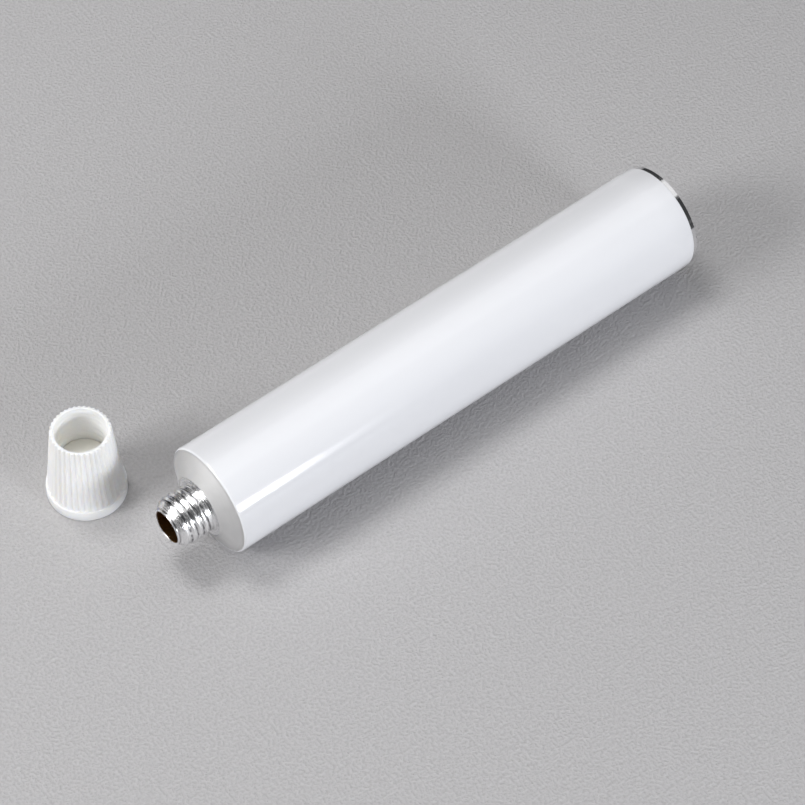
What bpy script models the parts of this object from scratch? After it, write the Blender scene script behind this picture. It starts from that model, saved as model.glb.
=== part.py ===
"""Collapsible aluminium paint tube, 25 mm across and 124 mm long, with its screw cap off.

The tube lies along X with its neck towards -X and its open tail towards +X. The cap stands beside
the neck on its crown, mouth up, on the same surface at z = 0. The origin is the middle of the
footprint of both. Everything is in metres.
"""

import math

import bmesh
import bpy
from mathutils import Vector

MM = 0.001

# ---- driving dimensions of the tube; along it, 0 is the front corner and + is towards the mouth
TUBE_RADIUS = 12.5 * MM
BODY_LENGTH = 124.4 * MM
MOUTH = 11.34 * MM
BORE_RADIUS = 3.71 * MM
LIP_RADIUS = 3.96 * MM
NECK_RADIUS = 5.37 * MM
LEAD_IN = 9.66 * MM
SEAT = 3.0 * MM
SEAT_RADIUS = 7.1 * MM
CORNER_RADIUS = 0.5 * MM
CORNER_END = math.radians(62)
BEAD_END = math.radians(60)
SEAT_DIP = 0.05 * MM
NECK_FILLET = 0.15 * MM
SHOULDER_THICKNESS = 0.65 * MM

# ---- the skins, from the outside in
ENAMEL = 0.10 * MM
METAL_WALL = 0.14 * MM
LACQUER = 0.05 * MM
SKIN_GAP = 0.02 * MM
BARE_TAIL = 0.65 * MM
BEAD_INNER_RADIUS = 11.88 * MM
LACQUER_STEP_BACK = 0.2 * MM
SEAL_BAND_WIDTH = 8.0 * MM
SEAL_BAND_THICKNESS = 0.08 * MM
SEAL_BAND_STEP_BACK = 1.0 * MM

# ---- the screw thread, shared by the neck and the cap
PITCH = 1.5 * MM
THREAD_HEIGHT = 0.36 * MM
THREAD_CLEARANCE = 0.10 * MM
NECK_THREAD_TOP = 8.9 * MM
NECK_TURNS = 3.4
THREAD_START_ANGLE = math.radians(7)
THREAD_FADE_TURNS = 0.12
THREAD_ROOT_SHARE = 0.46
THREAD_CREST_SHARE = 0.12
THREAD_END_SHARE = 0.35

# ---- the cap, standing on its crown
CAP_HEIGHT = 20.65 * MM
FLANGE_RADIUS = 8.61 * MM
FLANGE_HEIGHT = 2.85 * MM
FLANGE_ROUND = 0.25 * MM
MOUTH_ROUND = 0.3 * MM
FLUTES = 38
FLUTE_DEPTH = 0.40 * MM
FLUTE_FOOT_RADIUS = 8.33 * MM
FLUTE_TOP_RADIUS = 6.51 * MM
SOCKET_RADIUS = NECK_RADIUS + THREAD_CLEARANCE
SOCKET_DEPTH = 11.05 * MM
MOUTH_CHAMFER = 0.34 * MM
MOUTH_CHAMFER_DEPTH = 0.45 * MM
CROWN_RECESS_RADIUS = 6.6 * MM
CROWN_RECESS_DEPTH = 0.8 * MM
CROWN_RECESS_DRAFT = 0.3 * MM
DISC_THICKNESS = 0.8 * MM
DISC_GAP = 0.05 * MM
DISC_EASE = 0.1 * MM
CAP_TURNS = 6.4
CAP_FROM_CORNER_X = -13.90 * MM
CAP_FROM_AXIS_Y = 26.07 * MM

# ---- roundness
TUBE_STEPS = 60
CAP_STEPS_PER_FLUTE = 4
SOCKET_STEPS = 48
THREAD_STEPS = 40
OVERCUT = 1.0 * MM

# ---- the middle of the footprint, measured from the tube's front corner and axis
LOW_X = CAP_FROM_CORNER_X - FLANGE_RADIUS
MIDDLE_X = (LOW_X + BODY_LENGTH) / 2
MIDDLE_Y = (CAP_FROM_AXIS_Y + FLANGE_RADIUS - TUBE_RADIUS) / 2


def clear_scene():
    for old in list(bpy.data.objects):
        bpy.data.objects.remove(old, do_unlink=True)


def collection(name, hidden=False):
    made = bpy.data.collections.new(name)
    made.hide_render = hidden
    bpy.context.scene.collection.children.link(made)
    return made


def material(name, colour, roughness, metallic=0.0):
    made = bpy.data.materials.new(name)
    made.use_nodes = True
    shader = made.node_tree.nodes["Principled BSDF"]
    shader.inputs["Base Color"].default_value = (*colour, 1.0)
    shader.inputs["Roughness"].default_value = roughness
    shader.inputs["Metallic"].default_value = metallic
    return made


def add_mesh(name, mesh, home, paint=None):
    made = bpy.data.objects.new(name, mesh)
    home.objects.link(made)
    if paint is not None:
        mesh.materials.append(paint)
    return made


def turned(name, profile, home, steps, paint=None):
    """A solid of revolution about local Z, hollow where its outline keeps off the axis."""
    mesh = bpy.data.meshes.new(name)
    points = [(radius, 0.0, height) for radius, height in profile]
    edges = [(i, i + 1) for i in range(len(points) - 1)]
    if profile[0][0] > 0.0:
        edges.append((len(points) - 1, 0))
    mesh.from_pydata(points, edges, [])
    made = add_mesh(name, mesh, home, paint)
    screw = made.modifiers.new("turn", "SCREW")
    screw.axis = "Z"
    screw.steps = steps
    screw.render_steps = steps
    screw.use_merge_vertices = True
    screw.merge_threshold = 1e-6
    screw.use_smooth_shade = True
    return made


def arc(centre, radius, start, end, count):
    """Points of an arc in the (radius, height) plane, with angles from the outward direction."""
    angles = [start + (end - start) * i / (count - 1) for i in range(count)]
    return [
        (centre[0] + radius * math.cos(a), centre[1] + radius * math.sin(a)) for a in angles
    ]


def loft(name, rings, home, paint=None):
    """A closed solid through rings of equal count, with its first and last ring capped."""
    build = bmesh.new()
    rows = [[build.verts.new(point) for point in ring] for ring in rings]
    count = len(rings[0])
    for low, high in zip(rows, rows[1:]):
        for i in range(count):
            j = (i + 1) % count
            build.faces.new((low[i], low[j], high[j], high[i]))
    build.faces.new(list(reversed(rows[0])))
    build.faces.new(rows[-1])
    bmesh.ops.recalc_face_normals(build, faces=build.faces)
    mesh = bpy.data.meshes.new(name)
    build.to_mesh(mesh)
    build.free()
    mesh.shade_smooth()
    mesh.set_sharp_from_angle(angle=math.radians(35))
    return add_mesh(name, mesh, home, paint)


def boolean(target, tool, operation):
    cut = target.modifiers.new(operation.lower() + "_" + tool.name, "BOOLEAN")
    cut.operation = operation
    cut.solver = "EXACT"
    cut.object = tool


def thread_rib(name, home, root, top, turns, start):
    """A right-handed helical rib that climbs from the angle start to the height top."""
    half_root = THREAD_ROOT_SHARE * PITCH
    half_crest = THREAD_CREST_SHARE * PITCH
    crest = root + THREAD_HEIGHT
    sunk = root - THREAD_HEIGHT
    rings = []
    count = round(THREAD_STEPS * turns)
    for i in range(count + 1):
        turn = turns * i / count
        lift = min(1.0, turn / THREAD_FADE_TURNS, (turns - turn) / THREAD_FADE_TURNS)
        peak = sunk + (crest - sunk) * (THREAD_END_SHARE + (1 - THREAD_END_SHARE) * lift)
        angle = start + 2 * math.pi * turn
        height = top - PITCH * (turns - turn)
        section = (
            (sunk, -half_root),
            (0.5 * (root + peak), -0.5 * (half_root + half_crest)),
            (peak, -half_crest),
            (peak, half_crest),
            (0.5 * (root + peak), 0.5 * (half_root + half_crest)),
            (sunk, half_root),
        )
        rings.append(
            [
                Vector((r * math.cos(angle), r * math.sin(angle), height + dz))
                for r, dz in section
            ]
        )
    return loft(name, rings, home)


def to_flats(profile):
    """Widens a turned outline so that its flats, and not its corners, lie at the stated radii."""
    widen = 1 / math.cos(math.pi / TUBE_STEPS)
    return [(radius * widen, height) for radius, height in profile]


def shoulder_height(radius):
    """Height of the metal shoulder's outer cone at a radius."""
    rim_height = CORNER_RADIUS * math.sin(CORNER_END)
    slope = (SEAT - rim_height) / (BEAD_INNER_RADIUS - SEAT_RADIUS)
    return rim_height + slope * (BEAD_INNER_RADIUS - radius)


def tube_blank_profile():
    """Closed outline of the metal tube, down the outside from the mouth and back up the inside."""
    outer = TUBE_RADIUS - ENAMEL - SKIN_GAP
    inner = outer - METAL_WALL
    bore = BORE_RADIUS + LACQUER + SKIN_GAP
    under_seat = SEAT - SHOULDER_THICKNESS
    corner = arc((outer - CORNER_RADIUS, 0.0), CORNER_RADIUS, CORNER_END, 0.0, 4)
    return [
        (bore, MOUTH),
        (LIP_RADIUS, MOUTH),
        (NECK_RADIUS, LEAD_IN),
        (NECK_RADIUS, SEAT + NECK_FILLET),
        (NECK_RADIUS + NECK_FILLET, SEAT - SEAT_DIP),
        (SEAT_RADIUS - 2 * SEAT_DIP, SEAT - SEAT_DIP),
        (SEAT_RADIUS, SEAT),
        (BEAD_INNER_RADIUS, shoulder_height(BEAD_INNER_RADIUS)),
        *corner[1:],
        (outer, -BODY_LENGTH),
        (inner, -BODY_LENGTH),
        (inner, -SHOULDER_THICKNESS),
        (SEAT_RADIUS, under_seat),
        (bore, under_seat),
    ]


def enamel_profile():
    """Closed outline of the enamel: the sleeve's skin, rolled over the front corner as a bead."""
    outer = TUBE_RADIUS
    inner = TUBE_RADIUS - ENAMEL
    middle = (TUBE_RADIUS - ENAMEL - SKIN_GAP - CORNER_RADIUS, 0.0)
    outside = arc(middle, outer - middle[0], BEAD_END, 0.0, 5)
    inside = arc(middle, inner - middle[0], 0.0, BEAD_END, 5)
    tail = -BODY_LENGTH + BARE_TAIL
    return [*outside, (outer, tail), (inner, tail), *inside]


def lacquer_profile():
    """Closed outline of the lacquer inside the sleeve, under the shoulder and up the bore."""
    metal = TUBE_RADIUS - ENAMEL - 2 * SKIN_GAP - METAL_WALL
    bore = BORE_RADIUS + LACQUER
    under = SHOULDER_THICKNESS + SKIN_GAP
    tail = -BODY_LENGTH + LACQUER_STEP_BACK
    top = MOUTH - LACQUER_STEP_BACK
    under_seat = SEAT - under
    return [
        (bore, top),
        (bore, under_seat),
        (SEAT_RADIUS, under_seat),
        (metal, -under),
        (metal, tail),
        (metal - LACQUER, tail),
        (metal - LACQUER, -under - LACQUER),
        (SEAT_RADIUS, under_seat - LACQUER),
        (BORE_RADIUS, under_seat - LACQUER),
        (BORE_RADIUS, top),
    ]


def seal_band_profile():
    """Closed outline of the soft sealing ring just inside the open tail."""
    outer = TUBE_RADIUS - ENAMEL - 3 * SKIN_GAP - METAL_WALL - LACQUER
    inner = outer - SEAL_BAND_THICKNESS
    low = -BODY_LENGTH + SEAL_BAND_STEP_BACK
    return [
        (outer, low + SEAL_BAND_WIDTH),
        (outer, low),
        (inner, low),
        (inner, low + SEAL_BAND_WIDTH),
    ]


def make_tube(parts, cutters):
    """The metal tube with its thread, and the three skins on it, along one axis."""
    axis = bpy.data.objects.new("tube_axis", None)
    parts.objects.link(axis)
    axis.location = (-MIDDLE_X, -MIDDLE_Y, TUBE_RADIUS)
    half_facet = math.pi / TUBE_STEPS
    axis.rotation_euler = (0.0, -math.pi / 2, 0.0)

    aluminium = material("bare_aluminium", (0.80, 0.81, 0.82), 0.28, 1.0)
    enamel = material("white_enamel", (0.90, 0.91, 0.93), 0.12)
    lacquer = material("gold_lacquer", (0.42, 0.25, 0.08), 0.30)
    latex = material("latex_seal", (0.62, 0.66, 0.63), 0.55)
    pieces = [
        turned("aluminium_tube", to_flats(tube_blank_profile()), parts, TUBE_STEPS, aluminium),
        turned("enamel_coat", to_flats(enamel_profile()), parts, TUBE_STEPS, enamel),
        turned("inner_lacquer", to_flats(lacquer_profile()), parts, TUBE_STEPS, lacquer),
        turned("end_seal_band", to_flats(seal_band_profile()), parts, TUBE_STEPS, latex),
    ]
    rib = thread_rib(
        "neck_thread",
        cutters,
        NECK_RADIUS,
        NECK_THREAD_TOP,
        NECK_TURNS,
        THREAD_START_ANGLE,
    )
    rib.display_type = "WIRE"
    rib.hide_render = True
    for piece in [*pieces, rib]:
        piece.parent = axis
        piece.rotation_euler = (0.0, 0.0, half_facet)
    boolean(pieces[0], rib, "UNION")


def fluted_ring(height, tip_radius, depth):
    """One section of the cap: a ring of FLUTES ridges, or a plain circle where depth is 0."""
    count = FLUTES * CAP_STEPS_PER_FLUTE
    ring = []
    for i in range(count):
        angle = 2 * math.pi * i / count
        dip = 0.5 - 0.5 * math.cos(FLUTES * angle)
        radius = tip_radius - depth * dip
        ring.append(Vector((radius * math.cos(angle), radius * math.sin(angle), height)))
    return ring


def cap_rings():
    """Sections from the crown's plain flange up through the tapered flutes to the mouth."""
    taper = (FLUTE_FOOT_RADIUS - FLUTE_TOP_RADIUS) / (CAP_HEIGHT - FLANGE_HEIGHT)
    sections = (
        (0.0, FLANGE_RADIUS - FLANGE_ROUND, 0.0),
        (FLANGE_ROUND, FLANGE_RADIUS, 0.0),
        (FLANGE_HEIGHT - FLANGE_ROUND, FLANGE_RADIUS, 0.0),
        (FLANGE_HEIGHT, FLANGE_RADIUS - 0.6 * FLANGE_ROUND, 0.0),
        (FLANGE_HEIGHT + 0.2 * FLANGE_ROUND, FLUTE_FOOT_RADIUS, FLUTE_DEPTH),
        (CAP_HEIGHT - MOUTH_ROUND, FLUTE_TOP_RADIUS + taper * MOUTH_ROUND, FLUTE_DEPTH),
        (CAP_HEIGHT, FLUTE_TOP_RADIUS - 0.4 * MOUTH_ROUND, 0.5 * FLUTE_DEPTH),
    )
    return [fluted_ring(*section) for section in sections]


def socket_profile():
    """Open outline of the space cut for the neck, from above the mouth down to the floor."""
    over = CAP_HEIGHT + OVERCUT
    wide = SOCKET_RADIUS + MOUTH_CHAMFER
    return [
        (0.0, over),
        (wide + OVERCUT, over),
        (wide, CAP_HEIGHT),
        (SOCKET_RADIUS, CAP_HEIGHT - MOUTH_CHAMFER_DEPTH),
        (SOCKET_RADIUS, CAP_HEIGHT - SOCKET_DEPTH),
        (0.0, CAP_HEIGHT - SOCKET_DEPTH),
    ]


def recess_profile():
    """Open outline of the shallow recess in the crown's underside."""
    return [
        (0.0, CROWN_RECESS_DEPTH),
        (CROWN_RECESS_RADIUS - CROWN_RECESS_DRAFT, CROWN_RECESS_DEPTH),
        (CROWN_RECESS_RADIUS, 0.0),
        (CROWN_RECESS_RADIUS + CROWN_RECESS_DRAFT, -OVERCUT),
        (0.0, -OVERCUT),
    ]


def disc_profile():
    """Open outline of the sealing disc on the socket's floor."""
    edge = SOCKET_RADIUS - 2 * DISC_GAP
    low = CAP_HEIGHT - SOCKET_DEPTH + DISC_GAP
    high = low + DISC_THICKNESS
    return [
        (0.0, high),
        (edge - DISC_EASE, high),
        (edge, high - DISC_EASE),
        (edge, low),
        (0.0, low),
    ]


def make_cap(parts, cutters):
    """The fluted cap on its crown, and the sealing disc in its socket, about one upright axis."""
    axis = bpy.data.objects.new("cap_axis", None)
    parts.objects.link(axis)
    axis.location = (CAP_FROM_CORNER_X - MIDDLE_X, CAP_FROM_AXIS_Y - MIDDLE_Y, 0.0)

    plastic = material("white_polyethylene", (0.88, 0.88, 0.86), 0.42)
    foam = material("foam_liner", (0.80, 0.79, 0.74), 0.6)
    cap = loft("cap", cap_rings(), parts, plastic)
    disc = turned("cap_sealing_disc", disc_profile(), parts, SOCKET_STEPS, foam)
    socket = turned("socket_cutter", socket_profile(), cutters, SOCKET_STEPS)
    recess = turned("recess_cutter", recess_profile(), cutters, SOCKET_STEPS)
    groove = thread_rib(
        "groove_cutter",
        cutters,
        SOCKET_RADIUS,
        CAP_HEIGHT + 0.5 * PITCH,
        CAP_TURNS,
        0.0,
    )
    for cutter in (socket, recess, groove):
        cutter.display_type = "WIRE"
        cutter.hide_render = True
        boolean(cap, cutter, "DIFFERENCE")
    for piece in (cap, disc, socket, recess, groove):
        piece.parent = axis


def main():
    clear_scene()
    parts = collection("paint_tube")
    cutters = collection("cutters", hidden=True)
    make_tube(parts, cutters)
    make_cap(parts, cutters)


main()
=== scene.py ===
"""Looks of a collapsible aluminium paint tube lying beside its screw cap.

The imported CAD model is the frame: every place below is worked out from its boxes. The tube pieces
are built about their own axis (local Z towards the mouth, local X up), and the cap pieces about the
cap's upright axis. Everything is in metres.
"""

import math

import bmesh
import bpy
from mathutils import Matrix, Vector


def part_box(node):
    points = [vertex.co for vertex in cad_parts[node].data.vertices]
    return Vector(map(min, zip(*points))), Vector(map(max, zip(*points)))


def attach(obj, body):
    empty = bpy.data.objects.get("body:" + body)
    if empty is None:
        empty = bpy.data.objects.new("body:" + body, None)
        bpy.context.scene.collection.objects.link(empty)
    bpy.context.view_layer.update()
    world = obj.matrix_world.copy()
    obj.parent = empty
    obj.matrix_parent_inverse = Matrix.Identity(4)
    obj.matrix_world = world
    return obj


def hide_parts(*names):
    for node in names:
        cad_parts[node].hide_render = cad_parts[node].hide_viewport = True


MM = 0.001

# ---- tube sizes that its boxes don't hold; heights are from the front corner towards the mouth
NECK_LENGTH = 11.34 * MM
BORE_RADIUS = 3.71 * MM
LIP_RADIUS = 3.93 * MM
NECK_RADIUS = 5.37 * MM
LEAD_IN = 9.66 * MM
LIP_ROUND = 0.16 * MM
LIP_GROOVE_DEPTH = 0.12 * MM
# Height and reach of the painted shade along the lip's groove.
LIP_GROOVE_SHADE_HEIGHT = 10.91 * MM
LIP_GROOVE_SHADE_REACH = 0.22 * MM
SEAT = 3.0 * MM
SEAT_RADIUS = 7.1 * MM
CORNER_RADIUS = 0.5 * MM
CORNER_END = math.radians(62)
SHOULDER_BULGE = 0.10 * MM
BARE_EDGE = 0.05 * MM
BEAD_INNER_RADIUS = 11.88 * MM
SHOULDER_THICKNESS = 0.65 * MM
ENAMEL = 0.10 * MM
METAL_WALL = 0.14 * MM
LACQUER = 0.05 * MM
SKIN_GAP = 0.02 * MM
LACQUER_STEP_BACK = 0.2 * MM
ENAMEL_STEP_BACK = 0.35 * MM

# ---- thread
PITCH = 1.5 * MM
THREAD_HEIGHT = 0.36 * MM
GROOVE_DEPTH = 0.18 * MM
THREAD_TOP = 8.9 * MM
NECK_TURNS = 3.4
THREAD_TOP_ANGLE = math.radians(154)
THREAD_FADE = 0.14
THREAD_CLEARANCE = 0.10 * MM
THREAD_CREST_SHARE = 0.07
THREAD_ROOT_SHARE = 0.47
# Where in each turn of the thread the painted shade of its roots lies, and how far it reaches.
THREAD_ROOT_SHADE_TURN = 0.56
THREAD_ROOT_SHADE_REACH = 0.20

# ---- cap sizes that its boxes don't hold
FLANGE_HEIGHT = 2.85 * MM
FLUTES = 38
FLUTE_DEPTH = 0.40 * MM
FLUTE_FOOT_RADIUS = 8.33 * MM
FLUTE_TOP_RADIUS = 6.51 * MM
MOUTH_ROUND = 0.34 * MM
CROWN_RECESS_RADIUS = 6.6 * MM
CROWN_RECESS_DEPTH = 0.8 * MM
DISC_GAP = 0.05 * MM
LIP_EDGE_ROUND = 0.30 * MM
FLANGE_ROUND = 0.20 * MM

# ---- mesh fineness
TUBE_STEPS = 240
NECK_ROW = 0.06 * MM
FLUTE_STEPS = 12
SOCKET_ROW = 0.14 * MM

# ---- camera, from the front corner of the tube on the floor
CAMERA_FROM_CORNER = Vector((-0.2050, -0.3083, 0.53465))
CAMERA_YAW = math.radians(50.289)
CAMERA_DIP = math.radians(52.945)
CAMERA_ROLL = math.radians(1.084)
SENSOR = 36.0
LENS = 137.9
CLIP_START = 0.01

# ---- stage
FLOOR_HALF = 2.5
FLOOR_DROP = 0.00002
ROOM_STRENGTH = 0.045

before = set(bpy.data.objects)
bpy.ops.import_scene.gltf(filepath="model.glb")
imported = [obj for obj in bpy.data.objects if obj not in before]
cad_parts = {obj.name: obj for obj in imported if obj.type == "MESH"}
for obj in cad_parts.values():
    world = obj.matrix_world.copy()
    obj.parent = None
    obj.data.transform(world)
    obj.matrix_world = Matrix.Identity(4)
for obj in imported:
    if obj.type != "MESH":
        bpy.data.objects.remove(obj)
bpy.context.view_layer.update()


def middle(low, high):
    return (low + high) / 2


ENAMEL_LOW, ENAMEL_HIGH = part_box("enamel_coat")
METAL_LOW, METAL_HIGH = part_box("aluminium_tube")
BAND_LOW, BAND_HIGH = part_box("end_seal_band")
CAP_LOW, CAP_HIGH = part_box("cap")
DISC_LOW, DISC_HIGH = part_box("cap_sealing_disc")

TUBE_RADIUS = (ENAMEL_HIGH.z - ENAMEL_LOW.z) / 2
FRONT_X = METAL_LOW.x + NECK_LENGTH
TUBE_PLACE = Vector((FRONT_X, middle(ENAMEL_LOW.y, ENAMEL_HIGH.y), ENAMEL_LOW.z + TUBE_RADIUS))
TAIL = FRONT_X - METAL_HIGH.x
ENAMEL_TAIL = FRONT_X - ENAMEL_HIGH.x
METAL_RADIUS = TUBE_RADIUS - ENAMEL - SKIN_GAP
METAL_INSIDE = METAL_RADIUS - METAL_WALL
LACQUER_OUTSIDE = METAL_INSIDE - SKIN_GAP
LACQUER_INSIDE = LACQUER_OUTSIDE - LACQUER

CAP_PLACE = Vector((middle(CAP_LOW.x, CAP_HIGH.x), middle(CAP_LOW.y, CAP_HIGH.y), CAP_LOW.z))
CAP_HEIGHT = CAP_HIGH.z - CAP_LOW.z
FLANGE_RADIUS = (CAP_HIGH.x - CAP_LOW.x) / 2
SOCKET_RADIUS = NECK_RADIUS + THREAD_CLEARANCE
DISC_RADIUS = (DISC_HIGH.x - DISC_LOW.x) / 2
DISC_BOTTOM = DISC_LOW.z - CAP_LOW.z
DISC_TOP = DISC_HIGH.z - CAP_LOW.z
SOCKET_FLOOR = DISC_BOTTOM - DISC_GAP


# ---------------------------------------------------------------- mesh helpers


def smoothstep(low, high, value):
    t = min(1.0, max(0.0, (value - low) / (high - low)))
    return t * t * (3 - 2 * t)


def arc(centre, radius, start, end, count):
    """(radius, height) points of an arc, with angles from the outward direction, in degrees."""
    points = []
    for i in range(count + 1):
        a = math.radians(start + (end - start) * i / count)
        points.append((centre[0] + radius * math.cos(a), centre[1] + radius * math.sin(a)))
    return points


def line(start, end, count):
    """Points from start to end, leaving out the start."""
    return [
        (
            start[0] + (end[0] - start[0]) * i / count,
            start[1] + (end[1] - start[1]) * i / count,
        )
        for i in range(1, count + 1)
    ]


def ring_of(steps, radius_at, height):
    """A ring about local Z whose radius may change with the angle."""
    ring = []
    for i in range(steps):
        angle = 2 * math.pi * i / steps
        radius = radius_at(angle)
        ring.append(Vector((radius * math.cos(angle), radius * math.sin(angle), height)))
    return ring


def surface(name, rings, closed, sharp=32):
    """A closed solid through rings: joined end to end if closed, or else with a pole at each end."""
    build = bmesh.new()
    rows = [[build.verts.new(point) for point in ring] for ring in rings]
    count = len(rings[0])
    pairs = list(zip(rows, rows[1:]))
    if closed:
        pairs.append((rows[-1], rows[0]))
    for low, high in pairs:
        for i in range(count):
            j = (i + 1) % count
            build.faces.new((low[i], low[j], high[j], high[i]))
    if not closed:
        for row in (rows[0], rows[-1]):
            pole = build.verts.new(sum((v.co for v in row), Vector()) / count)
            for i in range(count):
                build.faces.new((row[i], row[(i + 1) % count], pole))
    bmesh.ops.recalc_face_normals(build, faces=build.faces)
    mesh = bpy.data.meshes.new(name)
    build.to_mesh(mesh)
    build.free()
    mesh.shade_smooth()
    mesh.set_sharp_from_angle(angle=math.radians(sharp))
    made = bpy.data.objects.new(name, mesh)
    bpy.context.scene.collection.objects.link(made)
    return made


def lathe(name, profile, steps, closed=True, sharp=32):
    rings = [ring_of(steps, lambda angle, r=r: r, height) for r, height in profile]
    return surface(name, rings, closed, sharp)


def on_tube(piece, node):
    """Lays a piece built about local Z along the tube's axis, and lets it stand for its CAD node."""
    piece.location = TUBE_PLACE
    piece.rotation_euler = (0.0, -math.pi / 2, 0.0)
    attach(piece, "tube")
    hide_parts(node)


def on_cap(piece, body, node):
    piece.location = CAP_PLACE
    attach(piece, body)
    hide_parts(node)


# ---------------------------------------------------------------- shapes of the tube


def shoulder_height(radius):
    """Height of the shoulder's outer face: a cone that bulges a little."""
    rim = CORNER_RADIUS * math.sin(CORNER_END)
    share = (BEAD_INNER_RADIUS - radius) / (BEAD_INNER_RADIUS - SEAT_RADIUS)
    bulge = SHOULDER_BULGE * math.sin(math.pi * min(1.0, max(0.0, share)))
    return rim + (SEAT - rim) * share + bulge


def thread_lift(height, angle):
    """How much of the thread's height stands at a place on the neck."""
    turn = (angle - THREAD_TOP_ANGLE) / (2 * math.pi)
    along = (height - THREAD_TOP) / PITCH
    turn += round(along - turn)
    inside = min(-turn, turn + NECK_TURNS) / THREAD_FADE
    across = abs(along - turn)
    return smoothstep(0.0, 1.0, inside) * (1 - smoothstep(THREAD_CREST_SHARE, THREAD_ROOT_SHARE, across))


def neck_rings():
    low = SEAT + 0.35 * MM
    rows = math.ceil((LEAD_IN - low) / NECK_ROW)
    rings = []
    for i in range(rows + 1):
        height = low + (LEAD_IN - low) * i / rows
        rings.append(
            ring_of(
                TUBE_STEPS,
                lambda angle, h=height: NECK_RADIUS + THREAD_HEIGHT * thread_lift(h, angle),
                height,
            )
        )
    return rings


def plain_rings(profile):
    return [ring_of(TUBE_STEPS, lambda angle, r=r: r, height) for r, height in profile]


def make_metal():
    """The metal tube: tail edge, sleeve, shoulder, threaded neck, lip, bore and inside."""
    corner = METAL_RADIUS - CORNER_RADIUS
    shoulder_radii = [
        BEAD_INNER_RADIUS + (SEAT_RADIUS - BEAD_INNER_RADIUS) * i / 10 for i in range(11)
    ]
    outside = [
        (METAL_INSIDE, TAIL + BARE_EDGE),
        (METAL_INSIDE + BARE_EDGE, TAIL),
        (METAL_RADIUS - BARE_EDGE, TAIL),
        (METAL_RADIUS, TAIL + BARE_EDGE),
        *line((METAL_RADIUS, TAIL), (METAL_RADIUS, 0.0), 8),
        *arc((corner, 0.0), CORNER_RADIUS, 8, 56, 6),
        *[(r, shoulder_height(r)) for r in shoulder_radii],
        (SEAT_RADIUS - 0.12 * MM, SEAT - 0.14 * MM),
        (SEAT_RADIUS - 0.25 * MM, SEAT - 0.17 * MM),
        (NECK_RADIUS + 0.45 * MM, SEAT - 0.12 * MM),
        *arc((NECK_RADIUS + 0.40 * MM, SEAT + 0.28 * MM), 0.40 * MM, 265, 185, 5),
    ]
    bore = BORE_RADIUS + LACQUER + SKIN_GAP
    edge = 0.06 * MM
    top = NECK_LENGTH
    foot = (NECK_RADIUS - 0.12 * MM, LEAD_IN + 0.22 * MM)
    lip = (LIP_RADIUS + LIP_ROUND, top - LIP_ROUND)
    slope = Vector((lip[1] - foot[1], foot[0] - lip[0])).normalized()
    mouth = [(NECK_RADIUS - 0.04 * MM, LEAD_IN + 0.10 * MM), foot]
    for r, h in line(foot, lip, 28):
        share = (h - foot[1]) / (lip[1] - foot[1])
        sunk = LIP_GROOVE_DEPTH * smoothstep(0.60, 0.76, share) * (1 - smoothstep(0.82, 0.97, share))
        mouth.append((r - sunk * slope.x, h - sunk * slope.y))
    mouth += [
        *arc((LIP_RADIUS, top - LIP_ROUND), LIP_ROUND, 25, 90, 6),
        (bore + edge, top),
        (bore, top - edge),
    ]
    under = SEAT - SHOULDER_THICKNESS
    inside = [
        *line((bore, top - edge), (bore, under + 0.2 * MM), 8),
        (bore + 0.06 * MM, under + 0.06 * MM),
        (bore + 0.2 * MM, under),
        *line((bore + 0.2 * MM, under), (SEAT_RADIUS, under), 3),
        *line((SEAT_RADIUS, under), (METAL_INSIDE - 0.1 * MM, -0.59 * MM), 8),
        (METAL_INSIDE, -0.80 * MM),
        *line((METAL_INSIDE, -0.80 * MM), (METAL_INSIDE, TAIL + 2 * BARE_EDGE), 8),
    ]
    rings = plain_rings(outside) + neck_rings() + plain_rings(mouth) + plain_rings(inside)
    tube = surface("tube_metal", rings, closed=True, sharp=28)
    on_tube(tube, "aluminium_tube")
    return tube


def make_enamel():
    """The enamel: the sleeve's white skin, rolled over the front corner as a rounded bead."""
    centre = (METAL_RADIUS - CORNER_RADIUS, 0.0)
    outer = TUBE_RADIUS - centre[0]
    inner = TUBE_RADIUS - ENAMEL - centre[0]
    tail = ENAMEL_TAIL + ENAMEL_STEP_BACK
    feather = 0.20 * MM
    ease = 0.02 * MM
    profile = [
        *arc(centre, outer, 58, 0, 14),
        *line((TUBE_RADIUS, 0.0), (TUBE_RADIUS, tail + feather), 24),
        (TUBE_RADIUS - 0.25 * ENAMEL, tail + 0.5 * feather),
        (TUBE_RADIUS - 0.65 * ENAMEL, tail + 0.1 * feather),
        (TUBE_RADIUS - ENAMEL + ease, tail),
        (TUBE_RADIUS - ENAMEL, tail + ease),
        *line((TUBE_RADIUS - ENAMEL, tail), (TUBE_RADIUS - ENAMEL, 0.0), 6),
        *arc(centre, inner, 8, 58, 8),
        (centre[0] + 0.5 * (outer + inner) * math.cos(math.radians(61)),
         0.5 * (outer + inner) * math.sin(math.radians(61))),
    ]
    coat = lathe("enamel_sleeve", profile, TUBE_STEPS, sharp=40)
    on_tube(coat, "enamel_coat")
    return coat


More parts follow.
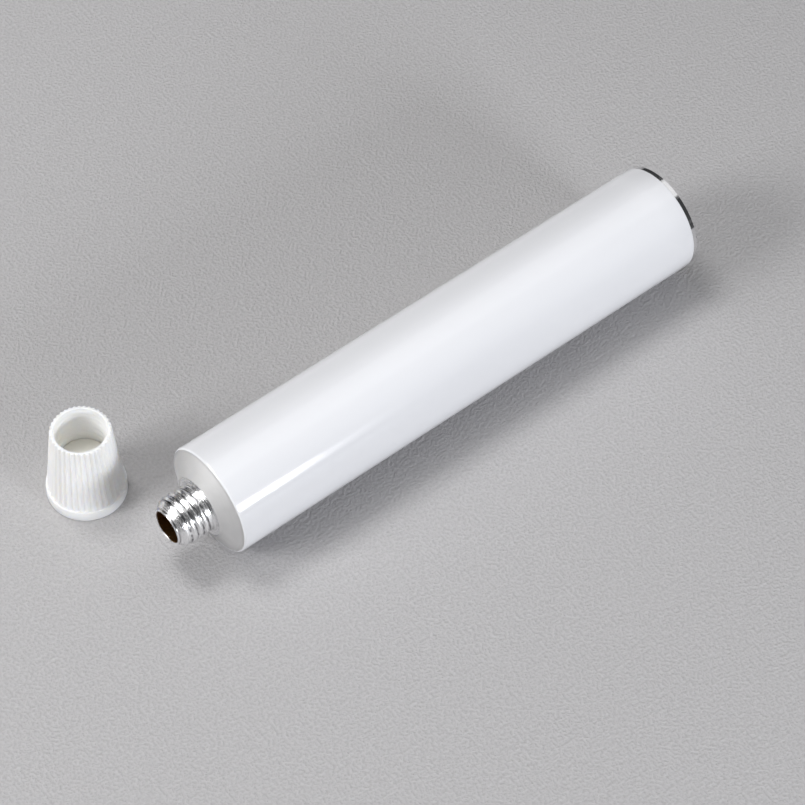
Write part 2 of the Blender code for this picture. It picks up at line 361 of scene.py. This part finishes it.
def make_lacquer():
    bore = BORE_RADIUS + LACQUER
    top = NECK_LENGTH - LACQUER_STEP_BACK
    tail = TAIL + LACQUER_STEP_BACK
    under = SEAT - SHOULDER_THICKNESS - SKIN_GAP
    corner = -SHOULDER_THICKNESS - 2 * SKIN_GAP
    profile = [
        (bore, top),
        *line((bore, top), (bore, under + 0.1 * MM), 6),
        (bore + 0.25 * MM, under - 0.02 * MM),
        *line((bore + 0.25 * MM, under - 0.02 * MM), (SEAT_RADIUS - 0.05 * MM, under), 3),
        *line((SEAT_RADIUS - 0.05 * MM, under), (LACQUER_OUTSIDE - 0.15 * MM, corner), 6),
        (LACQUER_OUTSIDE, corner - 0.3 * MM),
        *line((LACQUER_OUTSIDE, corner - 0.3 * MM), (LACQUER_OUTSIDE, tail), 8),
        (LACQUER_INSIDE, tail),
        *line((LACQUER_INSIDE, tail), (LACQUER_INSIDE, corner - 0.35 * MM), 8),
        (LACQUER_INSIDE - 0.2 * MM, corner - 0.1 * MM),
        *line(
            (LACQUER_INSIDE - 0.2 * MM, corner - 0.1 * MM),
            (SEAT_RADIUS - 0.1 * MM, under - LACQUER),
            6,
        ),
        *line((SEAT_RADIUS - 0.1 * MM, under - LACQUER), (BORE_RADIUS + 0.3 * MM, under - LACQUER), 3),
        (BORE_RADIUS, under + 0.12 * MM),
        *line((BORE_RADIUS, under + 0.12 * MM), (BORE_RADIUS, top), 6),
    ]
    skin = lathe("lacquer_lining", profile, TUBE_STEPS, sharp=40)
    on_tube(skin, "inner_lacquer")
    return skin


def make_seal_band():
    """The dried latex ring: soft edges, and a wall that waves a little round the tube."""
    low = FRONT_X - BAND_HIGH.x
    high = FRONT_X - BAND_LOW.x
    outside = (BAND_HIGH.z - BAND_LOW.z) / 2
    thick = 0.08 * MM
    rings = [ring_of(TUBE_STEPS, lambda angle: outside, high - 0.1 * MM)]
    rings.append(ring_of(TUBE_STEPS, lambda angle: outside, low + 0.1 * MM))
    rows = 10
    for i in range(rows + 1):
        height = low + 0.02 * MM + (high - low - 0.04 * MM) * i / rows
        swell = math.sin(math.pi * i / rows) ** 0.35
        rings.append(
            ring_of(
                TUBE_STEPS,
                lambda angle, s=swell: outside
                - thick * s * (0.82 + 0.12 * math.sin(3 * angle + 1) + 0.06 * math.sin(11 * angle)),
                height,
            )
        )
    rings[2] = ring_of(TUBE_STEPS, lambda angle: outside - 0.1 * thick, low + 0.02 * MM)
    rings[-1] = ring_of(TUBE_STEPS, lambda angle: outside - 0.1 * thick, high - 0.02 * MM)
    band = surface("latex_band", rings, closed=True, sharp=60)
    on_tube(band, "end_seal_band")
    return band


# ---------------------------------------------------------------- shapes of the cap


def groove_lift(height, angle):
    """How deep the cap's inside thread is cut at a place on the socket's wall."""
    turn = angle / (2 * math.pi)
    along = (height - DISC_TOP - 0.6 * MM) / PITCH
    turn += round(along - turn)
    start = smoothstep(0.0, 0.35, turn)
    return start * (1 - smoothstep(0.12, 0.46, abs(along - turn)))


def make_cap():
    steps = FLUTES * FLUTE_STEPS
    top = CAP_HEIGHT
    taper = (FLUTE_FOOT_RADIUS - FLUTE_TOP_RADIUS) / (CAP_HEIGHT - FLANGE_HEIGHT)

    def fluted(tip, depth, height):
        return ring_of(
            steps,
            lambda angle: tip - depth * (0.5 - 0.5 * math.cos(FLUTES * angle)) ** 1.15,
            height,
        )

    def threaded(height):
        return ring_of(
            steps,
            lambda angle: SOCKET_RADIUS + GROOVE_DEPTH * groove_lift(height, angle),
            height,
        )

    rings = [
        fluted(0.6 * SOCKET_RADIUS, 0, SOCKET_FLOOR),
        fluted(SOCKET_RADIUS - 0.05 * MM, 0, SOCKET_FLOOR),
        fluted(SOCKET_RADIUS, 0, SOCKET_FLOOR + 0.05 * MM),
        fluted(SOCKET_RADIUS, 0, DISC_TOP),
    ]
    wall_low = DISC_TOP + 0.1 * MM
    wall_high = top - MOUTH_ROUND
    rows = math.ceil((wall_high - wall_low) / SOCKET_ROW)
    rings += [threaded(wall_low + (wall_high - wall_low) * i / rows) for i in range(rows + 1)]
    for i in range(1, 9):
        a = math.radians(90 * i / 8)
        radius = SOCKET_RADIUS + MOUTH_ROUND * (1 - math.cos(a))
        height = wall_high + MOUTH_ROUND * math.sin(a)
        share = 1 - smoothstep(0.0, 0.7, i / 8)
        rings.append(
            ring_of(
                steps,
                lambda angle, r=radius, h=height, s=share: r
                + s * GROOVE_DEPTH * groove_lift(h, angle),
                height,
            )
        )
    lip = LIP_EDGE_ROUND
    for i in range(1, 7):
        a = math.radians(90 * i / 6)
        height = top - lip + lip * math.cos(a)
        radius = FLUTE_TOP_RADIUS + taper * lip - lip * (1 - math.sin(a))
        rings.append(fluted(radius, FLUTE_DEPTH * (0.25 + 0.75 * math.sin(a)), height))
    wall_rows = 14
    foot = FLANGE_HEIGHT + 0.12 * MM
    for i in range(1, wall_rows + 1):
        height = top - lip + (foot - top + lip) * i / wall_rows
        rings.append(fluted(FLUTE_TOP_RADIUS + taper * (top - height), FLUTE_DEPTH, height))
    rings.append(fluted(FLUTE_FOOT_RADIUS + 0.02 * MM, 0.85 * FLUTE_DEPTH, FLANGE_HEIGHT + 0.03 * MM))
    rings.append(fluted(FLUTE_FOOT_RADIUS + 0.08 * MM, 0.10 * FLUTE_DEPTH, FLANGE_HEIGHT))
    soft = FLANGE_ROUND
    for r, h in arc((FLANGE_RADIUS - soft, FLANGE_HEIGHT - soft), soft, 85, 0, 5):
        rings.append(fluted(r, 0, h))
    for r, h in arc((FLANGE_RADIUS - soft, soft), soft, 0, -90, 6):
        rings.append(fluted(r, 0, h))
    recess = CROWN_RECESS_RADIUS
    deep = CROWN_RECESS_DEPTH
    rings += [
        fluted(recess + 0.15 * MM, 0, 0.0),
        fluted(recess, 0, 0.12 * MM),
        fluted(recess - 0.15 * MM, 0, deep - 0.15 * MM),
        fluted(recess - 0.35 * MM, 0, deep),
        fluted(1.2 * MM, 0, deep),
        fluted(0.75 * MM, 0, deep - 0.02 * MM),
        fluted(0.65 * MM, 0, deep - 0.30 * MM),
        fluted(0.50 * MM, 0, deep - 0.38 * MM),
    ]
    cap = surface("cap_moulding", rings, closed=False, sharp=40)
    on_cap(cap, "cap", "cap")
    return cap


def make_disc():
    ease = 0.10 * MM
    profile = [
        (0.4 * DISC_RADIUS, DISC_BOTTOM),
        *arc((DISC_RADIUS - ease, DISC_BOTTOM + ease), ease, -90, 0, 4),
        *arc((DISC_RADIUS - ease, DISC_TOP - ease), ease, 0, 90, 4),
        *line((DISC_RADIUS - ease, DISC_TOP), (0.3 * DISC_RADIUS, DISC_TOP), 6),
    ]
    disc = lathe("liner_disc", profile, 120, closed=False, sharp=50)
    on_cap(disc, "cap_liner", "cap_sealing_disc")
    return disc


# ---------------------------------------------------------------- material helpers


def material(name, colour, roughness, metallic=0.0):
    made = bpy.data.materials.new(name)
    made.use_nodes = True
    shader = made.node_tree.nodes["Principled BSDF"]
    shader.inputs["Base Color"].default_value = (*colour, 1.0)
    shader.inputs["Roughness"].default_value = roughness
    shader.inputs["Metallic"].default_value = metallic
    return made, shader


def put(target, value):
    """Sets a socket to a value, or links it to another node's output."""
    if isinstance(value, bpy.types.NodeSocket):
        target.id_data.links.new(value, target)
    else:
        target.default_value = value


def node(made, kind, inputs=None, **settings):
    new = made.node_tree.nodes.new(kind)
    for name, value in settings.items():
        setattr(new, name, value)
    for name, value in (inputs or {}).items():
        put(new.inputs[name], value)
    return new


def place(made, scale=(1.0, 1.0, 1.0)):
    """The object's own coordinates in metres, stretched by a scale along each axis."""
    source = node(made, "ShaderNodeTexCoord").outputs["Object"]
    mapping = node(made, "ShaderNodeMapping", {"Vector": source, "Scale": scale})
    return mapping.outputs["Vector"]


def maths(made, operation, a, b=0.0):
    return node(made, "ShaderNodeMath", {0: a, 1: b}, operation=operation).outputs[0]


def noise(made, vector, scale, detail=2.0, roughness=0.5):
    inputs = {"Vector": vector, "Scale": scale, "Detail": detail, "Roughness": roughness}
    return node(made, "ShaderNodeTexNoise", inputs).outputs["Fac"]


def ranged(made, value, low_in, high_in, low_out, high_out):
    inputs = {0: value, 1: low_in, 2: high_in, 3: low_out, 4: high_out}
    return node(made, "ShaderNodeMapRange", inputs, clamp=True).outputs[0]


def tinted(made, factor, first, second):
    mix = node(made, "ShaderNodeMix", data_type="RGBA")
    put(mix.inputs["Factor"], factor)
    put(mix.inputs[6], (*first, 1.0))
    put(mix.inputs[7], (*second, 1.0))
    return mix.outputs[2]


def bump(made, shader, height, distance, strength=1.0, below=None):
    inputs = {"Height": height, "Distance": distance, "Strength": strength}
    if below is not None:
        inputs["Normal"] = below
    made_bump = node(made, "ShaderNodeBump", inputs).outputs["Normal"]
    put(shader.inputs["Normal"], made_bump)
    return made_bump


def along_profile(made):
    """Distance along a turned surface, near enough: radius minus height, the same all round."""
    parts = node(made, "ShaderNodeSeparateXYZ", {"Vector": place(made)}).outputs
    squared = maths(made, "ADD", maths(made, "POWER", parts[0], 2.0), maths(made, "POWER", parts[1], 2.0))
    radius = maths(made, "SQRT", squared)
    return maths(made, "SUBTRACT", radius, parts[2])


def ring_vector(made, stretch):
    """Coordinates whose noise runs in rings round the axis, with a slow change round them."""
    flat = node(made, "ShaderNodeSeparateXYZ", {"Vector": place(made)}).outputs
    inputs = {
        "X": maths(made, "MULTIPLY", flat[0], stretch),
        "Y": maths(made, "MULTIPLY", flat[1], stretch),
        "Z": along_profile(made),
    }
    return node(made, "ShaderNodeCombineXYZ", inputs).outputs["Vector"]


def along_axis(made):
    return node(made, "ShaderNodeSeparateXYZ", {"Vector": place(made)}).outputs[2]


def nearness(made, value, target, reach):
    """1 at the target value, falling to 0 at this reach on either side."""
    away = maths(made, "ABSOLUTE", maths(made, "SUBTRACT", value, target))
    return ranged(made, away, 0.0, reach, 1.0, 0.0)


def thread_root_shade(made):
    """1 along the narrow root beside each turn of the neck's thread, 0 elsewhere: where the neck's colour
    is darkened as painted shade.
    """
    parts = node(made, "ShaderNodeSeparateXYZ", {"Vector": place(made)}).outputs
    angle = maths(made, "SUBTRACT", maths(made, "ARCTAN2", parts[1], parts[0]), THREAD_TOP_ANGLE)
    height = maths(made, "DIVIDE", maths(made, "SUBTRACT", parts[2], THREAD_TOP), PITCH)
    turn = maths(made, "FRACT", maths(made, "SUBTRACT", height, maths(made, "DIVIDE", angle, math.tau)))
    root = ranged(made, nearness(made, turn, THREAD_ROOT_SHADE_TURN, THREAD_ROOT_SHADE_REACH), 0.0, 0.6, 0.0, 1.0)
    threaded = nearness(made, parts[2], (SEAT + LEAD_IN) / 2, (LEAD_IN - SEAT) / 2)
    return maths(made, "MULTIPLY", root, ranged(made, threaded, 0.0, 0.12, 0.0, 1.0))


# ---------------------------------------------------------------- materials


def enamel_material():
    made, shader = material("enamel_white", (0.86, 0.87, 0.89), 0.12)
    slow = noise(made, place(made, (1.0, 1.0, 0.3)), 60.0, 3.0)
    put(shader.inputs["Base Color"], tinted(made, slow, (0.80, 0.805, 0.835), (0.85, 0.855, 0.88)))
    smears = noise(made, place(made, (1.0, 1.0, 0.15)), 260.0, 4.0, 0.6)
    put(shader.inputs["Roughness"], ranged(made, smears, 0.35, 0.75, 0.09, 0.17))
    peel = noise(made, place(made), 1400.0, 2.0)
    fine = bump(made, shader, peel, 0.0000015)
    waves = noise(made, place(made, (1.0, 1.0, 0.25)), 190.0, 2.0)
    bump(made, shader, waves, 0.00002, 1.0, fine)
    return made


def neck_material():
    made, shader = material("aluminium_neck", (0.90, 0.905, 0.91), 0.13, 1.0)
    rings = noise(made, ring_vector(made, 0.02), 6000.0, 3.0, 0.7)
    put(shader.inputs["Roughness"], ranged(made, rings, 0.3, 0.7, 0.20, 0.30))
    # Painted shade: the thread's roots are darkened in dashes, standing in for shade and dark reflections
    # in the grooves.
    root_shade_dashes = noise(made, place(made), 800.0, 2.0)
    root_shade_breaks = ranged(made, root_shade_dashes, 0.38, 0.50, 0.0, 1.0)
    root_shade = maths(made, "MULTIPLY", thread_root_shade(made), root_shade_breaks)
    # Painted shade: a dark band is painted along the lip's groove.
    lip = nearness(made, along_axis(made), LIP_GROOVE_SHADE_HEIGHT, LIP_GROOVE_SHADE_REACH)
    neck_painted_shade = maths(made, "MAXIMUM", root_shade, maths(made, "MULTIPLY", lip, 0.8))
    # The neck's colour is polished aluminium, darkened wherever painted shade lies in the thread's roots
    # and the lip's groove.
    put(shader.inputs["Base Color"], tinted(made, neck_painted_shade, (0.97, 0.97, 0.975), (0.22, 0.22, 0.23)))
    first = bump(made, shader, rings, 0.000004)
    chatter = noise(made, ring_vector(made, 0.16), 2300.0, 3.0, 0.6)
    bump(made, shader, chatter, 0.00020, 1.0, first)
    return made


def shoulder_material():
    made, shader = material("aluminium_shoulder", (0.80, 0.80, 0.80), 0.60, 1.0)
    shader.inputs["Anisotropic"].default_value = 0.08
    shader.inputs["Anisotropic Rotation"].default_value = 0.25
    tangent = node(made, "ShaderNodeTangent", direction_type="RADIAL", axis="Z").outputs[0]
    put(shader.inputs["Tangent"], tangent)
    rings = noise(made, ring_vector(made, 0.01), 9000.0, 3.0, 0.7)
    put(shader.inputs["Roughness"], ranged(made, rings, 0.3, 0.7, 0.60, 0.74))
    stain = noise(made, place(made), 350.0, 4.0)
    put(shader.inputs["Base Color"], tinted(made, stain, (0.77, 0.765, 0.76), (0.69, 0.69, 0.69)))
    bump(made, shader, rings, 0.00003)
    return made


def wall_material():
    made, shader = material("aluminium_wall", (0.90, 0.90, 0.91), 0.12, 1.0)
    drawn = noise(made, place(made, (1.0, 1.0, 0.05)), 3000.0, 3.0)
    put(shader.inputs["Roughness"], ranged(made, drawn, 0.3, 0.7, 0.08, 0.18))
    cut = noise(made, place(made), 900.0, 3.0)
    put(shader.inputs["Base Color"], tinted(made, cut, (0.92, 0.92, 0.93), (0.82, 0.82, 0.83)))
    bump(made, shader, drawn, 0.000003)
    return made


def lacquer_material():
    made, shader = material("lacquer_gold", (0.52, 0.30, 0.10), 0.26, 0.92)
    pooled = noise(made, place(made, (1.0, 1.0, 0.3)), 220.0, 4.0)
    put(shader.inputs["Base Color"], tinted(made, pooled, (0.26, 0.13, 0.045), (0.38, 0.21, 0.08)))
    put(shader.inputs["Roughness"], ranged(made, pooled, 0.3, 0.7, 0.20, 0.32))
    drawn = noise(made, place(made, (1.0, 1.0, 0.06)), 1800.0, 2.0)
    bump(made, shader, drawn, 0.000005)
    return made


def latex_material():
    made, shader = material("latex_dried", (0.62, 0.66, 0.63), 0.5)
    brushed = noise(made, ring_vector(made, 0.08), 1500.0, 4.0, 0.6)
    put(shader.inputs["Base Color"], tinted(made, brushed, (0.55, 0.58, 0.54), (0.70, 0.72, 0.68)))
    put(shader.inputs["Roughness"], ranged(made, brushed, 0.3, 0.7, 0.42, 0.62))
    bump(made, shader, brushed, 0.00001)
    return made


def cap_material():
    made, shader = material("polyethylene_white", (0.88, 0.88, 0.865), 0.4)
    shader.inputs["Subsurface Weight"].default_value = 1.0
    shader.inputs["Subsurface Radius"].default_value = (1.0, 0.92, 0.78)
    shader.inputs["Subsurface Scale"].default_value = 0.0018
    flow = noise(made, place(made, (1.0, 1.0, 0.35)), 180.0, 3.0)
    put(shader.inputs["Base Color"], tinted(made, flow, (0.965, 0.955, 0.92), (0.985, 0.975, 0.945)))
    skin = noise(made, place(made), 2600.0, 3.0)
    put(shader.inputs["Roughness"], ranged(made, skin, 0.3, 0.7, 0.34, 0.48))
    fine = bump(made, shader, skin, 0.000003)
    shrink = noise(made, place(made, (1.0, 1.0, 0.5)), 420.0, 1.0)
    bump(made, shader, shrink, 0.000006, 1.0, fine)
    return made


def foam_material():
    made, shader = material("liner_foam", (0.78, 0.77, 0.72), 0.6)
    cells = node(made, "ShaderNodeTexVoronoi", {"Vector": place(made), "Scale": 3200.0})
    put(
        shader.inputs["Base Color"],
        tinted(made, noise(made, place(made), 500.0, 3.0), (0.88, 0.87, 0.81), (0.92, 0.91, 0.86)),
    )
    put(shader.inputs["Roughness"], ranged(made, cells.outputs["Distance"], 0.0, 0.8, 0.5, 0.7))
    bump(made, shader, cells.outputs["Distance"], 0.00002)
    return made


def floor_material():
    made, shader = material("floor_pale", (0.46, 0.455, 0.465), 0.55)
    shader.inputs["Specular IOR Level"].default_value = 0.3
    grain = noise(made, place(made), 1500.0, 2.5, 0.55)
    # Painted shade: the floor's colour is darker in the creases of its grain and lighter on the ridges,
    # following the bump.
    crease_shade = ranged(made, grain, 0.34, 0.66, 0.0, 1.0)
    put(shader.inputs["Base Color"], tinted(made, crease_shade, (0.435, 0.426, 0.432), (0.505, 0.496, 0.502)))
    bump(made, shader, grain, 0.00034)
    return made


def paint_metal(tube):
    """The neck is polished, the shoulder is matt from turning, and the wall is drawn."""
    for made in (neck_material(), shoulder_material(), wall_material()):
        tube.data.materials.append(made)
    for face in tube.data.polygons:
        radius = math.hypot(face.center.x, face.center.y)
        height = face.center.z
        if height < 0.1 * MM:
            face.material_index = 2
        elif radius > SEAT_RADIUS - 0.3 * MM:
            face.material_index = 1
        else:
            face.material_index = 0


# ---------------------------------------------------------------- stage, light and camera


def make_floor():
    mesh = bpy.data.meshes.new("floor")
    half = FLOOR_HALF
    corners = [(-half, -half, 0.0), (half, -half, 0.0), (half, half, 0.0), (-half, half, 0.0)]
    mesh.from_pydata(corners, [], [(0, 1, 2, 3)])
    floor = bpy.data.objects.new("floor", mesh)
    bpy.context.scene.collection.objects.link(floor)
    floor.location = (0.0, 0.0, -FLOOR_DROP)
    mesh.materials.append(floor_material())


def softbox(name, azimuth, elevation, distance, size, power, colour=(1.0, 1.0, 1.0), roll=0.0):
    """An area light that faces the middle of the object. Its direction and roll are in degrees."""
    az = math.radians(azimuth)
    el = math.radians(elevation)
    toward = Vector((math.cos(el) * math.cos(az), math.cos(el) * math.sin(az), math.sin(el)))
    data = bpy.data.lights.new(name, "AREA")
    data.shape = "RECTANGLE"
    data.size = size[0]
    data.size_y = size[1]
    data.energy = power
    data.color = colour
    light = bpy.data.objects.new(name, data)
    bpy.context.scene.collection.objects.link(light)
    across = Matrix.Rotation(math.radians(roll), 4, "Z")
    light.matrix_world = (
        Matrix.Translation(toward * distance)
        @ toward.to_track_quat("Z", "Y").to_matrix().to_4x4()
        @ across
    )
    return light


def make_lights():
    softbox("overhead", 32.6, 77.6, 1.0, (1.50, 0.76), 3.0, roll=57.4)
    softbox("top", 104.0, 68.0, 0.8, (0.24, 0.24), 2.1)
    softbox("key_left", 166.0, 31.0, 0.85, (0.34, 0.34), 4.4)
    softbox("fill_right", -82.0, 17.0, 0.78, (0.26, 0.15), 3.9, (0.95, 0.97, 1.0), roll=-6.0)


def make_world():
    world = bpy.data.worlds.new("studio")
    world.use_nodes = True
    background = world.node_tree.nodes["Background"]
    background.inputs["Color"].default_value = (0.95, 0.96, 1.0, 1.0)
    background.inputs["Strength"].default_value = ROOM_STRENGTH
    bpy.context.scene.world = world
    bpy.context.scene.view_settings.view_transform = "Standard"


def make_camera():
    data = bpy.data.cameras.new("camera")
    data.sensor_width = SENSOR
    data.lens = LENS
    data.clip_start = CLIP_START
    camera = bpy.data.objects.new("camera", data)
    bpy.context.scene.collection.objects.link(camera)
    corner = Vector((TUBE_PLACE.x, TUBE_PLACE.y, ENAMEL_LOW.z))
    ahead = Vector(
        (
            math.cos(CAMERA_DIP) * math.cos(CAMERA_YAW),
            math.cos(CAMERA_DIP) * math.sin(CAMERA_YAW),
            -math.sin(CAMERA_DIP),
        )
    )
    level = Vector((math.sin(CAMERA_YAW), -math.cos(CAMERA_YAW), 0.0))
    upright = level.cross(ahead)
    right = math.cos(CAMERA_ROLL) * level + math.sin(CAMERA_ROLL) * upright
    up = math.cos(CAMERA_ROLL) * upright - math.sin(CAMERA_ROLL) * level
    turn = Matrix((right, up, -ahead)).transposed()
    camera.matrix_world = Matrix.Translation(corner + CAMERA_FROM_CORNER) @ turn.to_4x4()
    bpy.context.scene.camera = camera


def main():
    paint_metal(make_metal())
    make_enamel().data.materials.append(enamel_material())
    make_lacquer().data.materials.append(lacquer_material())
    make_seal_band().data.materials.append(latex_material())
    make_cap().data.materials.append(cap_material())
    make_disc().data.materials.append(foam_material())
    make_floor()
    make_lights()
    make_world()
    make_camera()


main()
